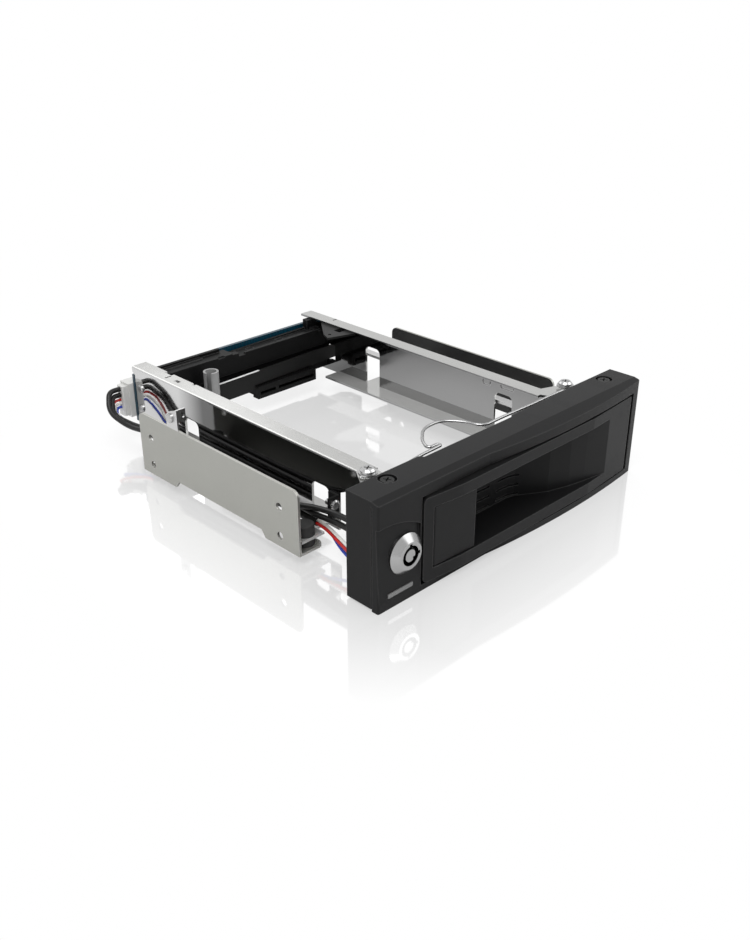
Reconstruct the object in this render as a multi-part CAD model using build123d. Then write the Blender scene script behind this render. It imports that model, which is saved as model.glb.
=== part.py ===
from build123d import *
from math import pi, radians, tan
import os

# Hot swap cage for one 3.5 inch drive in a 5.25 inch bay.
# Millimetres. X runs to the right seen from the front, Y to the rear, Z up.
# While the pieces are made, y = 0 is the back of the bezel and z = 0 the bottom of its lip.
# For export everything moves forward so that the origin is the bottom centre of the whole.

GAP = 0.3                  # between pieces that move past each other
PIN_PLAY = 0.05            # radial, round hinge pins

# Whole
FRONT_PLANE = -17.2
REAR_PLANE = 163.0
HALF_WIDTH = 74.25
Y_MIDDLE = (FRONT_PLANE + REAR_PLANE) / 2

# Screws: head radius, head height, shank radius
BEZEL_SCREW = (2.9, 1.2, 1.4)
BOW_SCREW = (2.8, 1.6, 1.2)
WALL_SCREW = (1.8, 0.8, 1.2)
BOARD_SCREW = (2.3, 1.2, 1.1)
DAMPER_SCREW = (2.7, 1.4, 1.4)
CLIP_SCREW = (1.9, 1.1, 1.0)
GUIDE_SCREW = (2.0, 1.3, 1.1)
CAM_SCREW = (3.1, 1.3, 1.2)
SCREW_REACH = 2.5          # of an upright screw below the cage's top

# Bezel: a box open to the rear with a lip in front, its face flat at the lock and bulged at the door
BEZEL_TOP = 41.4
BEZEL_WALL = 2.2
BODY_FLOOR = 0.8
LIP_BACK = FRONT_PLANE + 5.5
PLATE_BACK = LIP_BACK + 0.4
LEFT_FACE = FRONT_PLANE + 2.3
RIGHT_FACE = FRONT_PLANE + 2.9
BULGE_START = -HALF_WIDTH + 54.25
BULGE_MIDDLE = HALF_WIDTH - 47.25
CORNER_R = 0.7
LIP_GROOVE = (0.4, 0.3)    # width and depth
OPENING_X = (-HALF_WIDTH + 20.35, HALF_WIDTH - 4.05)
OPENING_Z = (2.4, BEZEL_TOP - 5.0)
TOP_SCREWS = ((-HALF_WIDTH + 14.85, -4.1), (HALF_WIDTH - 10.75, -4.4))
BOSS_R = 3.6
HEAD_RECESS_R = BEZEL_SCREW[0] + 0.4
HEAD_RECESS = 1.5
DISH_DEPTH = 1.2
DISH_R = 31.0

# Lock
LOCK_X, LOCK_Z = -HALF_WIDTH + 12.95, 18.3
BARREL_R = 6.0
BARREL_BACK = LEFT_FACE + 9.7
FLANGE_R = 7.45
FLANGE_BACK = LEFT_FACE + 1.0
CONE_R = 5.1
KEYWAY_R = 3.6
CENTRE_PIN_R = 2.25
PLUG_R = 4.4
KEYWAY_FLOOR = LEFT_FACE + 2.1
CAM_Y = (BARREL_BACK + 0.2, BARREL_BACK + 1.7)
CAM_REACH = 13.0
CAM_W = 7.0
CAM_SQUARE = 2.5
NUT_R = 7.5
NUT_T = 2.0

# Light bar, its board and plug
LIGHT_X = (LOCK_X - 8.5, LOCK_X + 3.3)
LIGHT_Z = (4.4, 6.0)
LIGHT_HEAD = LEFT_FACE - 0.2
LIGHT_FOOT = LEFT_FACE + 4.3
LED_BOARD_Y = (LIGHT_FOOT + 1.6, LIGHT_FOOT + 3.2)
FLOOR_TOP = BODY_FLOOR + BEZEL_WALL

# Key switch behind the lock
SWITCH_Z = (LOCK_Z - 6.3, LOCK_Z + 6.7)
SWITCH_Y = (-1.6, 5.5)

# Door
DOOR_X = (OPENING_X[0] + 0.5, OPENING_X[1] - 0.7)
DOOR_Z = (OPENING_Z[0] + 0.6, OPENING_Z[1] - 0.8)
DOOR_SKIN = 1.5
DOOR_BACK = FRONT_PLANE + 8.2
DOOR_BULGE = (DOOR_X[0] + 17.4, DOOR_X[1] - 29.5)
HINGE_X, HINGE_Y = DOOR_X[1] - 2.2, FRONT_PLANE + 4.2
HINGE_PIN_R = 1.0
PIN_REACH = 6.0            # of a hinge pin into the door
POCKET_Z = (DOOR_Z[0] + 4.7, DOOR_Z[1] - 4.4)
POCKET_LEFT = DOOR_X[0] + 4.4
POCKET_BACK = FRONT_PLANE + 15.2
# Line of the pocket's back from its deepest point to where it meets the front: x from the door's
# left end, y from the front plane
POCKET_CURVE = ((61.4, 15.2), (64.4, 14.4), (70.1, 10.9), (76.4, 7.2), (85.8, 4.4), (93.9, 2.8), (106.4, 0.8))
POCKET_WALL = 1.3
SLIT_X = ((41.4, 50.7), (54.6, 65.9))
SLIT_Z = (0.6, 4.4, 8.4)
SLIT_H = 0.9
SLIT_RISE = 0.4
SLIT_DEPTH = 0.9

# Paddle over the left end of the pocket
PADDLE_X = (POCKET_LEFT + 0.4, POCKET_LEFT + 20.5)
PADDLE_Z = (POCKET_Z[0] + 0.4, POCKET_Z[1] - 0.4)
PADDLE_FACE = (FRONT_PLANE + 1.5, FRONT_PLANE + 0.5)
PADDLE_T = 1.75
PADDLE_LIP = (1.6, 4.0)    # thickness and depth of its finger edge
PADDLE_PIN_AT = (PADDLE_X[0] + 1.7, FRONT_PLANE + 2.9)
PADDLE_PIN_R = 0.6
PADDLE_BARREL_R = PADDLE_PIN_R + 0.7

# Cage
SHEET = 1.0
CAGE_LEFT = -HALF_WIDTH + 19.85
CAGE_RIGHT = HALF_WIDTH - 23.55
CAGE_TOP = BEZEL_TOP - 6.4
CAGE_FRONT = 12.6
LEDGE_LOW = 7.7
LEDGE_Z = (LEDGE_LOW, LEDGE_LOW + SHEET)
LEDGE = 10.0
FLANGE = 7.2
BEND_R = 0.8
WINDOW_Y = ((30.0, 39.4), (108.8, 118.0))
WINDOW_TOP = (CAGE_TOP - 12.0, CAGE_TOP - 8.0)

# Bay brackets and rubber dampers
BRACKET_FACE = HALF_WIDTH - 1.25
BRACKET_TOP = CAGE_TOP - 5.2
BRACKET_Y = (25.6, 122.6)
FOOT_LOW = 3.9
FOOT_Z = (FOOT_LOW, FOOT_LOW + SHEET)
FOOT_INNER = BRACKET_FACE - 12.0
FOOT_Y = ((BRACKET_Y[0], 38.0), (106.0, BRACKET_Y[1]))
SKIRT_Z = 6.8
SKIRT_Y = (46.6, 98.0)
BOLT_Y = (35.95, 115.2)
BOLT_Z = (8.5, 20.34)
BOLT_R = 1.55
DAMPER_X = BRACKET_FACE - 7.0
DAMPER_Y = (30.8, 114.25)
DAMPER_R = 3.75
DAMPER_TOP = 13.0
GROOVE_R = 2.6

# Rear wall, boards and connectors
WALL_FRONT = REAR_PLANE - 18.0
WALL_T = 1.6
WALL_REAR = WALL_FRONT + 7.4
BOARD_T = 1.6
BOARD_FRONT = WALL_FRONT + 8.5
BOARD_BACK = BOARD_FRONT + BOARD_T
BOARD_X = (CAGE_LEFT - 0.2, CAGE_RIGHT - 2.7)
BOARD_Z = (LEDGE_Z[1] + 1.1, CAGE_TOP - 3.6)
BOARD_SCREWS = tuple((x, z) for x in (BOARD_X[0] + 6.8, BOARD_X[1] - 2.3)
                     for z in (BOARD_Z[0] + 3.2, BOARD_Z[1] - 4.4))
CONNECTOR_X = (CAGE_RIGHT - 49.2, CAGE_RIGHT - 13.5)
CONNECTOR_FRONT = WALL_FRONT - 5.0
CONNECTOR_Z = (7.2, 13.2)
RIB_COUNT = 20
LEDGE_SPLIT = CONNECTOR_X[0] - 9.5
LEDGE_TOP = CAGE_TOP - 4.0
TROUGH_FLOOR = CAGE_TOP - 6.1
TROUGH_SCREWS = (LEDGE_SPLIT + 12.4, LEDGE_SPLIT + 30.1)
TROUGH_BOSS = (CAGE_RIGHT - 5.7, WALL_FRONT + 3.2)
WALL_STEP = CAGE_TOP - 13.5
PORT_Z = (14.5, 19.5)
HEADER_X = (BOARD_X[0] - 2.4, BOARD_X[0] + 4.1)
HEADER_Z = (BOARD_Z[0] + 2.0, BOARD_Z[1] - 4.2)
HEADER_BACK = REAR_PLANE - 1.5
HEADER_WALL = 0.8

# Eject gear
LEVER_PIVOT = (CAGE_RIGHT + 13.3, WALL_FRONT - 1.0)
LEVER_PIN_R = 1.2
LEVER_T = 1.2
LEVER_SLANT = 0.0325       # of the lever at rest, its free end nearer the front
LEVER_TOP = (CONNECTOR_Z[1] + CAGE_TOP) / 2 - 3.6
LEVER_LOW = CONNECTOR_Z[1] + 0.8
LEVER_TIP = LEVER_LOW - 2.5
SLEEVE_AT = (CAGE_LEFT + 29.1, LEVER_PIVOT[1] - 5.5)
SLEEVE_R = 3.4
SLEEVE_WALL = 0.9
SLEEVE_Z = (LEVER_TIP - 1.0, CAGE_TOP - 5.8)
LEVER_START = SLEEVE_AT[0] + 5.8
EARS_Z = (LEVER_TIP, LEVER_TOP + GAP + 1.2)
EAR_T = 1.2
REAR_SCREWS = ((WALL_FRONT + 5.3, (EARS_Z[0] + EARS_Z[1]) / 2), (WALL_FRONT + 4.5, CAGE_TOP - 9.0))
LINK_X = (CAGE_RIGHT + 0.6, CAGE_RIGHT + 4.6)
LINK_Z = (LEVER_TOP + 0.9, LEVER_TOP + 2.1)
PEG_AT = (CAGE_RIGHT + 2.6, LEVER_PIVOT[1] - 0.35)
PEG_R = 0.6
GUIDE_Y = (52.0, 96.0)

# Clip on the left bracket
CLIP_T = 0.8
CLIP_CORNER = 95.4
CLIP_SCREW_AT = (CLIP_CORNER + 4.4, BRACKET_TOP + 4.3)

# Strap that holds the leads on the left cage wall
STRAP_Y = 24.6
STRAP_Z = (14.0, 22.4)
STRAP_SCREW_AT = (CAGE_LEFT - 2.8, 19.5)
STRAP_RIVET = (28.5, 18.0)
STRAP_RIVET_R = 1.0

# Wire bow and harness
BOW_R = 0.6
BOW_SCREWS = ((CAGE_LEFT + 0.2, 10.3), (CAGE_RIGHT + 6.4, 9.4))
WASHER_R = 3.4
WASHER_T = 0.6
LEAD_R = 1.1
THIN_R = 0.6
HARNESS_AT = (CAGE_LEFT - 5.6, 11.4)
HARNESS_R = 1.7
HARNESS_Y = (30.2, 136.0)
THIN_OFFSETS = {"red": (-0.61, -0.35), "white": (0.0, 0.7), "blue": (0.61, -0.35)}

PLANES = {
    "X": (Plane.YZ, Vector(1, 0, 0)),
    "Y": (Plane.XZ, Vector(0, 1, 0)),
    "Z": (Plane.XY, Vector(0, 0, 1)),
}


def along(axis, sketch, span):
    """Sketch drawn in the plane square to an axis, pulled along it over a span."""
    plane, way = PLANES[axis]
    solid = extrude(plane * sketch, amount=span[1] - span[0], dir=way)
    return Location(way * span[0]) * solid


def block(x, y, z):
    """Box between limits on each axis."""
    size = (x[1] - x[0], y[1] - y[0], z[1] - z[0])
    return Pos((x[0] + x[1]) / 2, (y[0] + y[1]) / 2, (z[0] + z[1]) / 2) * Box(*size)


def prism(axis, points, span, radius=0):
    """Polygon pulled along an axis, its corners rounded where a radius is given."""
    sketch = make_face(Polyline(*points, close=True))
    if radius:
        sketch = fillet(sketch.vertices(), radius)
    return along(axis, sketch, span)


def rod(axis, centre, radius, span):
    """Round bar along an axis; centre holds its two other coordinates."""
    return along(axis, Pos(*centre) * Circle(radius), span)


def panel(axis, low, high, radius, span):
    """Rectangle with round corners, pulled along an axis."""
    middle = Pos((low[0] + high[0]) / 2, (low[1] + high[1]) / 2)
    return along(axis, middle * RectangleRounded(high[0] - low[0], high[1] - low[1], radius), span)


def grown(span, by):
    """Span made longer at both ends."""
    return (span[0] - by, span[1] + by)


def tube(points, radius):
    """Round cord along straight runs with a tangent arc at each bend."""
    knots = [Vector(*point) for point in points]
    edges = []
    start = knots[0]
    for before, knot, after in zip(knots, knots[1:], knots[2:]):
        back, ahead = before - knot, after - knot
        turn = 180 - back.get_angle(ahead)
        cut = 0.45 * min(back.length, ahead.length)
        enter = knot + back.normalized() * cut
        leave = knot + ahead.normalized() * cut
        edges.append(Edge.make_line(start, enter))
        edges.append(Edge.make_tangent_arc(enter, back * -1, leave))
        print(f"  bend of {turn:.0f} degrees, radius {cut / tan(radians(turn / 2)):.1f}")
        start = leave
    edges.append(Edge.make_line(start, knots[-1]))
    path = Wire(edges)
    profile = Plane(origin=path @ 0, z_dir=path % 0) * Circle(radius)
    solid = sweep(profile, path=path)
    print(f"  volume over section times length {solid.volume / (pi * radius ** 2 * path.length):.4f}")
    return solid


def pan_screw(axis, centre, seat, way, screw, length):
    """Screw whose head stands on seat and points along way (1 or -1)."""
    head_r, head_h, shank_r = screw
    head = rod(axis, centre, head_r, sorted((seat, seat + way * head_h)))
    rim = head.edges().filter_by(GeomType.CIRCLE).sort_by(Axis((0, 0, 0), PLANES[axis][1]))
    head = chamfer(rim[-1] if way > 0 else rim[0], head_h * 0.45)
    return head + rod(axis, centre, shank_r, sorted((seat, seat - way * length)))


def cross_screw(centre, seat, screw):
    """Upright screw with a cross recess, its shank reaching through the cage's top sheet."""
    head_r, head_h = screw[:2]
    top = seat + head_h
    cross = Rectangle(head_r, 0.55) + Rectangle(0.55, head_r)
    recess = along("Z", Pos(*centre) * Rot(0, 0, 30) * cross, (top - head_h * 0.6, top))
    return pan_screw("Z", centre, seat, 1, screw, seat - CAGE_TOP + SCREW_REACH) - recess


def bezel():
    front = ThreePointArc((BULGE_START, LEFT_FACE), (BULGE_MIDDLE, FRONT_PLANE), (HALF_WIDTH, RIGHT_FACE))
    edge = Polyline((HALF_WIDTH, RIGHT_FACE), (HALF_WIDTH, 0), (-HALF_WIDTH, 0), (-HALF_WIDTH, LEFT_FACE),
                    (BULGE_START, LEFT_FACE))
    shell = along("Z", make_face([front, edge]), (0, BEZEL_TOP))
    corners = [line for line in shell.edges().filter_by(Axis.Z)
               if abs(line.center().X) > HALF_WIDTH - 1 and line.center().Y < LIP_BACK]
    shell = fillet(corners, CORNER_R)
    width, depth = LIP_GROOVE
    for side in (-1, 1):
        groove = sorted((side * (HALF_WIDTH - depth), side * (HALF_WIDTH + 1)))
        shell -= block(groove, (LIP_BACK - width / 2, LIP_BACK + width / 2), (-1, BEZEL_TOP - BEZEL_WALL))
    whole = (-HALF_WIDTH - 1, HALF_WIDTH + 1)
    slope = ((LIP_BACK, BEZEL_TOP), (FRONT_PLANE - 0.8, BEZEL_TOP - 1.6), (FRONT_PLANE - 0.8, BEZEL_TOP + 0.6),
             (LIP_BACK, BEZEL_TOP + 0.6))
    shell -= prism("X", slope, whole)
    shell -= block(whole, (LIP_BACK, 1), (-1, BODY_FLOOR))
    inner_x = HALF_WIDTH - BEZEL_WALL
    shell -= block((-inner_x, inner_x), (PLATE_BACK, 1), (FLOOR_TOP, BEZEL_TOP - BEZEL_WALL))
    shell -= block(OPENING_X, (FRONT_PLANE - 3, 1), (DOOR_Z[0] - GAP, OPENING_Z[1]))
    shell -= block(OPENING_X, (FRONT_PLANE - 3, PLATE_BACK), OPENING_Z)
    shell -= lock_dish()
    for x, y in TOP_SCREWS:
        shell += rod("Z", (x, y), BOSS_R, (CAGE_TOP, BEZEL_TOP - BEZEL_WALL))
        shell -= rod("Z", (x, y), BEZEL_SCREW[2], (CAGE_TOP - 1, BEZEL_TOP + 1))
        shell -= rod("Z", (x, y), HEAD_RECESS_R, (BEZEL_TOP - HEAD_RECESS, BEZEL_TOP + 1))
    relief = ((-41, 1), (-39, -1.7), (8, -1.7), (9.5, -0.7), (33, -0.7), (34.5, 1))
    shell -= prism("Z", relief, (BEZEL_TOP - BEZEL_WALL - 0.2, BEZEL_TOP + 0.6))
    shell -= rod("Y", (LOCK_X, LOCK_Z), BARREL_R, (FRONT_PLANE - 3, 0))
    shell -= rod("Y", (LOCK_X, LOCK_Z), FLANGE_R + PIN_PLAY, (FRONT_PLANE - 3, FLANGE_BACK))
    low, high = zip(grown(LIGHT_X, PIN_PLAY), grown(LIGHT_Z, PIN_PLAY))
    shell -= panel("Y", low, high, 0.4, (FRONT_PLANE - 3, PLATE_BACK + 6))
    for span in ((BODY_FLOOR - 0.1, OPENING_Z[0]), (OPENING_Z[1], BEZEL_TOP - 2.9)):
        shell -= rod("Z", (HINGE_X, HINGE_Y), HINGE_PIN_R + PIN_PLAY, span)
    return [shell]


def lock_dish():
    """Cut that slopes in below an arc around the lock, up to the door's edge."""
    left, right = -HALF_WIDTH - 1.15, OPENING_X[0] - 0.5
    limit = Pos((left + right) / 2, LOCK_Z - 0.3) * Rectangle(right - left, 34)
    dish = Pos(-HALF_WIDTH + 3.25, 0.8) * Circle(DISH_R) & limit
    ahead = FRONT_PLANE - 2.8
    slope = ((LEFT_FACE, 3), (LEFT_FACE + DISH_DEPTH, 32), (ahead, 32), (ahead, 3))
    return along("Y", dish, (ahead, PLATE_BACK + 1.3)) & prism("X", slope, grown((left, right), 5))


def bezel_screws():
    return [cross_screw(at, BEZEL_TOP - HEAD_RECESS, BEZEL_SCREW) for at in TOP_SCREWS]


def door_front():
    """Bulged front line of the door in plan."""
    left, right = DOOR_X
    return Polyline((left, FRONT_PLANE + 1.8), (DOOR_BULGE[0], FRONT_PLANE), (DOOR_BULGE[1], FRONT_PLANE),
                    (right, FRONT_PLANE + 2.3))


def pocket_plan(grow):
    """Outline of the finger pocket in plan, grown outwards by the pocket's wall."""
    left, ahead = POCKET_LEFT - grow, FRONT_PLANE - 1.8
    curve = [(DOOR_X[0] + x + grow * 0.6, FRONT_PLANE + y + grow) for x, y in POCKET_CURVE]
    return [(left, ahead), (left, POCKET_BACK + grow), *curve, (curve[-1][0], ahead)]


def door_panel():
    left, right = DOOR_X
    front = door_front()
    close = Polyline(front @ 1, (right, DOOR_BACK), (left, DOOR_BACK), front @ 0)
    plan = make_face([front, close])
    plan = fillet(plan.vertices().sort_by(Axis.X)[-2:].sort_by(Axis.Y)[0], 1.6)
    solid = along("Z", plan, DOOR_Z)
    bulge = [edge for edge in solid.edges().filter_by(Axis.Z)
             if DOOR_X[0] + 8 < edge.center().X < DOOR_X[1] - 8]
    solid = fillet(bulge, 55)
    solid &= panel("Y", (left, DOOR_Z[0]), (right, DOOR_Z[1]), 2.0, (FRONT_PLANE - 2.8, 0))
    inner_right = HINGE_X - 2.8
    hollow = [(left + DOOR_SKIN, FRONT_PLANE + 3.6), (DOOR_BULGE[0], FRONT_PLANE + DOOR_SKIN),
              (DOOR_BULGE[1], FRONT_PLANE + DOOR_SKIN), (inner_right, FRONT_PLANE + 3.8), (inner_right, 1),
              (left + DOOR_SKIN, 1)]
    solid -= prism("Z", hollow, grown(DOOR_Z, -DOOR_SKIN))
    tub = prism("Z", pocket_plan(POCKET_WALL), grown(POCKET_Z, POCKET_WALL))
    bulged = [(x, FRONT_PLANE) for x in DOOR_BULGE]
    limit = prism("Z", [front @ 0, *bulged, front @ 1, (right, 0), (left, 0)], DOOR_Z)
    solid += tub & limit & block((left, right - 9.5), (FRONT_PLANE + 1.0, 0), DOOR_Z)
    solid -= prism("Z", pocket_plan(0), POCKET_Z)
    solid -= pocket_slits()
    cam_slot = block((left - 0.6, POCKET_LEFT + 0.1), grown(CAM_Y, 0.4), (LOCK_Z - 9.3, LOCK_Z + 4.3))
    solid -= cam_slot
    solid -= rod("Z", PADDLE_PIN_AT, PADDLE_PIN_R, grown(POCKET_Z, 2.2))
    solid -= rod("Z", (HINGE_X, HINGE_Y), HINGE_PIN_R, (DOOR_Z[0], DOOR_Z[0] + PIN_REACH))
    solid -= rod("Z", (HINGE_X, HINGE_Y), HINGE_PIN_R, (DOOR_Z[1] - PIN_REACH, DOOR_Z[1]))
    return [solid]


def pocket_slits():
    """Slanted blind grooves in the pocket's back."""
    slits = []
    for low, high in SLIT_X:
        for rise in SLIT_Z:
            x, z = (DOOR_X[0] + low, DOOR_X[0] + high), POCKET_Z[0] + rise
            outline = ((x[0], z + SLIT_RISE), (x[1], z), (x[1], z + SLIT_H), (x[0], z + SLIT_H + SLIT_RISE))
            slits.append(prism("Y", outline, (FRONT_PLANE + 5.2, 1)))
    return prism("Z", pocket_plan(SLIT_DEPTH), POCKET_Z) & Compound(children=slits)


def door_hinge_pins():
    spans = ((BODY_FLOOR + 0.1, DOOR_Z[0] + PIN_REACH), (DOOR_Z[1] - PIN_REACH, BEZEL_TOP - 3.1))
    return [rod("Z", (HINGE_X, HINGE_Y), HINGE_PIN_R, span) for span in spans]


def door_paddle():
    left, right = PADDLE_X
    near, far = PADDLE_FACE
    lip, depth = PADDLE_LIP
    outline = ((left, near), (right, far), (right, far + depth), (right - lip, far + depth),
               (right - lip, far + PADDLE_T), (left, near + PADDLE_T))
    sketch = make_face(Polyline(*outline, close=True))
    sketch = fillet(sketch.vertices().sort_by(Axis.X)[:2].sort_by(Axis.Y)[0], 0.8)
    paddle = along("Z", sketch, PADDLE_Z) + rod("Z", PADDLE_PIN_AT, PADDLE_BARREL_R, PADDLE_Z)
    return [paddle - rod("Z", PADDLE_PIN_AT, PADDLE_PIN_R + PIN_PLAY, (0, BEZEL_TOP))]


def paddle_pin():
    return [rod("Z", PADDLE_PIN_AT, PADDLE_PIN_R, grown(POCKET_Z, 2.2))]


def lock_body():
    flange = rod("Y", (0, 0), FLANGE_R, (LEFT_FACE, FLANGE_BACK))
    cone_h = LEFT_FACE - FRONT_PLANE - 0.1
    cone = Location((0, LEFT_FACE - cone_h / 2, 0)) * Rot(90, 0, 0) * Cone(FLANGE_R, CONE_R, cone_h)
    body = flange + cone + rod("Y", (0, 0), BARREL_R, (LEFT_FACE + 0.4, BARREL_BACK))
    body -= rod("Y", (0, 0), KEYWAY_R, (FRONT_PLANE - 1, 0))
    body -= rod("Y", (0, 0), PLUG_R, (KEYWAY_FLOOR, 0))
    for angle in (0, 90):
        notch = block((KEYWAY_R - 0.4, KEYWAY_R + 0.8), (FRONT_PLANE - 1, FLANGE_BACK - 0.1), (-0.6, 0.6))
        body -= Rot(0, -angle, 0) * notch
    return [Pos(LOCK_X, 0, LOCK_Z) * body]


def lock_nut():
    nut = along("Y", RegularPolygon(NUT_R, 6, rotation=30), (PLATE_BACK, PLATE_BACK + NUT_T))
    return [Pos(LOCK_X, 0, LOCK_Z) * (nut - rod("Y", (0, 0), BARREL_R, (PLATE_BACK - 1, 0)))]


def lock_plug():
    plug = rod("Y", (0, 0), PLUG_R - PIN_PLAY, (KEYWAY_FLOOR + PIN_PLAY, BARREL_BACK + 0.2))
    plug += rod("Y", (0, 0), CENTRE_PIN_R, (FRONT_PLANE + 0.3, KEYWAY_FLOOR + 1))
    plug += block((-CAM_SQUARE, CAM_SQUARE), (BARREL_BACK, CAM_Y[1]), (-CAM_SQUARE, CAM_SQUARE))
    plug -= block((1.2, 3), (FRONT_PLANE - 1, FRONT_PLANE + 1.8), (-2.2, -0.8))
    plug -= rod("Y", (0, 0), CAM_SCREW[2], (BARREL_BACK - 3.8, 0))
    return [Pos(LOCK_X, 0, LOCK_Z) * plug]


def lock_cam():
    reach = CAM_REACH - CAM_W / 2 - 0.5
    arm = SlotCenterToCenter(reach, CAM_W).rotate(Axis.Z, 90)
    cam = along("Y", Pos(0, -reach / 2) * arm, CAM_Y)
    cam += rod("Y", (0, 0), PLUG_R + 0.2, CAM_Y)
    cam -= block((-CAM_SQUARE, CAM_SQUARE), (CAM_Y[0] - 4, 0), (-CAM_SQUARE, CAM_SQUARE))
    return [Pos(LOCK_X, 0, LOCK_Z) * cam]


def cam_screw():
    return [pan_screw("Y", (LOCK_X, LOCK_Z), CAM_Y[1], 1, CAM_SCREW, 5)]


def led_light_pipe():
    head = panel("Y", (LIGHT_X[0], LIGHT_Z[0]), (LIGHT_X[1], LIGHT_Z[1]), 0.4, (LIGHT_HEAD, LIGHT_FOOT + 0.6))
    foot = block(LIGHT_X, (LIGHT_FOOT, LED_BOARD_Y[0]), (LIGHT_Z[0] - 0.8, LIGHT_Z[1] + 1.0))
    return [head + foot]


def led_board():
    return [block((LIGHT_X[0] - 2.2, LIGHT_X[1] + 2.0), LED_BOARD_Y, (FLOOR_TOP, LIGHT_Z[1] + 4.6))]


def led_connector():
    left, back = LIGHT_X[0] - 1.2, LED_BOARD_Y[1]
    return [block((left, left + 5.1), (back, back + 1.6), (LIGHT_Z[0] - 0.8, LIGHT_Z[1] + 3.4))]


def key_switch():
    body = block((LOCK_X - 5.7, LOCK_X + 5.7), SWITCH_Y, SWITCH_Z)
    button = rod("Y", (LOCK_X, LOCK_Z), 2.0, (SWITCH_Y[0] - 0.4, SWITCH_Y[0]))
    return [chamfer(body.edges().filter_by(Axis.Z), 0.8) + button]


def switch_bracket():
    inner = LOCK_X + 6.3
    foot = block((inner - 3.4, inner), (SWITCH_Y[0] - 1.4, 0), (FLOOR_TOP, SWITCH_Z[0]))
    shelf = block((LOCK_X - 5.7, inner), SWITCH_Y, (SWITCH_Z[0] - 1.2, SWITCH_Z[0]))
    return [foot + shelf]


def cage_wall(side):
    """One plated side with its ledge, flange and windows; side is -1 for left and 1 for right."""
    outer = CAGE_LEFT if side < 0 else CAGE_RIGHT
    inner = outer - side * SHEET
    ledge_end = WALL_FRONT + 8.2
    rear = WALL_FRONT + (10.0 if side < 0 else 12.0)
    outline = ((25, LEDGE_Z[0]), (ledge_end, LEDGE_Z[0]), (ledge_end, CAGE_TOP - 3.5), (rear, CAGE_TOP - 2.5),
               (rear, CAGE_TOP), (CAGE_FRONT, CAGE_TOP), (CAGE_FRONT, CAGE_TOP - 6.0), (25, CAGE_TOP - 12.0))
    wall = prism("X", outline, sorted((outer, inner)))
    wall += block(sorted((outer, outer - side * FLANGE)), (CAGE_FRONT, rear), (CAGE_TOP - SHEET, CAGE_TOP))
    bend = [edge for edge in wall.edges().filter_by(Axis.Y)
            if abs(edge.center().X - outer) < 0.01 and edge.center().Z > CAGE_TOP - 0.01]
    wall = fillet(bend, BEND_R)
    wall += block(sorted((outer, outer - side * LEDGE)), (40.0, WALL_FRONT - 8.0), LEDGE_Z)
    top = WINDOW_TOP[1] if side > 0 else WINDOW_TOP[0]
    through = sorted((outer + side, inner - side))
    for span in WINDOW_Y:
        wall -= panel("X", (span[0], LEDGE_Z[1]), (span[1], top), 2.5, through)
        wall -= block(through, span, (LEDGE_Z[1], LEDGE_Z[1] + 3))
    return wall, outer, inner


def damper_tabs(side, outer):
    """Ears at ledge height that hook into the grooves of the dampers."""
    reach, bend, root = side * (DAMPER_X + 4.6), side * (DAMPER_X - 4.0), side * (DAMPER_X - 6.0)
    front, rear = DAMPER_Y
    front_ear = ((outer, front + 0.2), (root, front + 0.2), (root, front - 4.0), (reach, front - 4.0),
                 (reach, front + 5.2), (bend, front + 8.6), (outer, front + 8.6))
    rear_ear = ((outer, WINDOW_Y[1][0]), (bend, WINDOW_Y[1][0]), (reach, rear - 3.75), (reach, WINDOW_Y[1][1]),
                (outer, WINDOW_Y[1][1]))
    tabs = []
    for outline, y in zip((front_ear, rear_ear), DAMPER_Y):
        tab = prism("Z", outline, LEDGE_Z)
        tabs.append(tab - rod("Z", (side * DAMPER_X, y), GROOVE_R, (0, LEDGE_Z[1] + 1)))
    return tabs


def cage_side_left():
    wall, outer, inner = cage_wall(-1)
    ear = ((outer, 16), (outer + 7.2, 16), (outer + 4.9, 5), (outer - 1.1, -7.5), (outer - 8.1, -7.5),
           (outer - 8.1, 0), (outer - 4.1, 10))
    wall += prism("Z", ear, (CAGE_TOP - SHEET, CAGE_TOP), 0.9)
    for tab in damper_tabs(-1, outer):
        wall += tab
    wall -= rod("Z", BOW_SCREWS[0], BOW_SCREW[2], (CAGE_TOP - 5, CAGE_TOP + 5))
    wall -= rod("Z", TOP_SCREWS[0], BEZEL_SCREW[2], (CAGE_TOP - 5, CAGE_TOP + 5))
    top = (CAGE_TOP - 2, CAGE_TOP + 1)
    wall -= block((outer + 2.3, outer + 5.4), (133.2, 134), top)
    wall -= panel("Z", (outer + 3.0, 125.3), (outer + 4.6, 128.2), 0.5, top)
    wall -= block((outer + 5.8, outer + 7.4), (134.0, 139.0), top)
    wall -= block((outer + 6.1, outer + 7.4), (118.4, 120.0), top)
    for y, z in REAR_SCREWS:
        wall -= rod("X", (y, z), WALL_SCREW[2], (outer - 2, outer + 2))
    return [wall - rod("X", STRAP_RIVET, STRAP_RIVET_R, (outer - 2, outer + 2))]


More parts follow.
